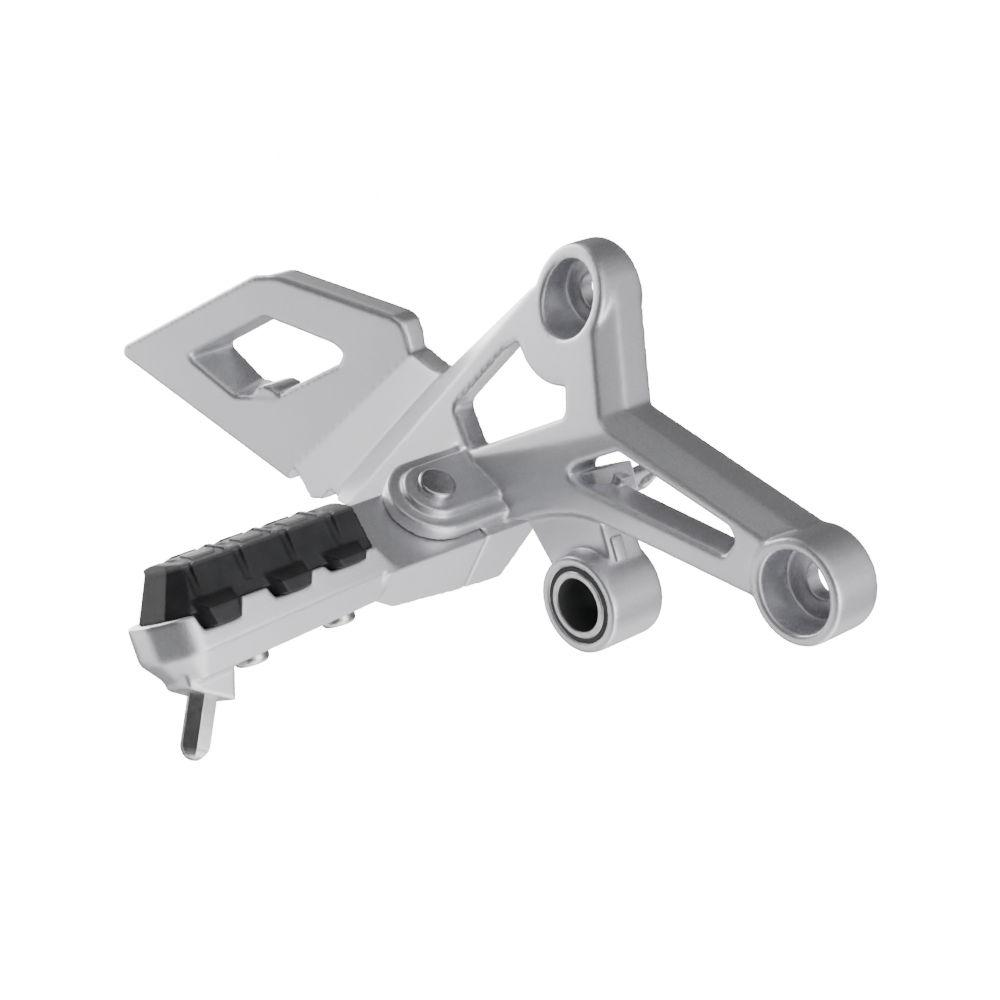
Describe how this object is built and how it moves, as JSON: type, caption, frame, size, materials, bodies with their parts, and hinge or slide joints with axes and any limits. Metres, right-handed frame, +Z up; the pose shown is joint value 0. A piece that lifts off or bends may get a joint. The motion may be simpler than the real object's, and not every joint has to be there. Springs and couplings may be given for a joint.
{
  "type": "motorcycle footpeg",
  "caption": "Rider's folding footpeg with rubber tread and banking feeler on a cast aluminium bracket with heel guard and pedal pivot.",
  "frame": {"origin": "upper mounting bolt's axis in the plane of the boss face that meets the motorcycle's frame", "axes": "+X forward along the motorcycle, +Y inward to the motorcycle, +Z up"},
  "size_m": [0.2841, 0.1598, 0.1455],
  "materials": {
    "cast_silver": "satin silver paint on die-cast aluminium",
    "rubber": "matt moulded rubber",
    "pin_steel": "turned steel, zinc plated",
    "sleeve_steel": "machined steel liner",
    "hardware": "bright plated steel",
    "spring_steel": "drawn wire"
  },
  "bodies": {
    "bracket": {"bracket_casting": "cast_silver", "pivot_sleeve": "sleeve_steel", "pivot_seal_outer": "rubber", "pivot_seal_inner": "rubber", "hinge_pin": "pin_steel", "pin_washer": "hardware", "pin_clip": "hardware", "return_spring": "spring_steel"},
    "peg": {"peg_carrier": "cast_silver", "rubber_pad": "rubber", "pad_insert": "pin_steel", "pad_screw_outer": "hardware", "pad_screw_inner": "hardware", "screw_washer_outer": "hardware", "screw_washer_inner": "hardware", "banking_feeler": "hardware"}
  },
  "joints": [
    {"name": "peg_fold", "type": "hinge", "parent": "bracket", "child": "peg", "pos_m": [-0.0422, -0.0515, -0.0439], "axis": [-0.7749, 0, -0.632], "range_deg": [0, 80], "stiffness_Nm_per_rad": 0.05, "springref_deg": -34.38, "deforming": ["return_spring"]}
  ]
}
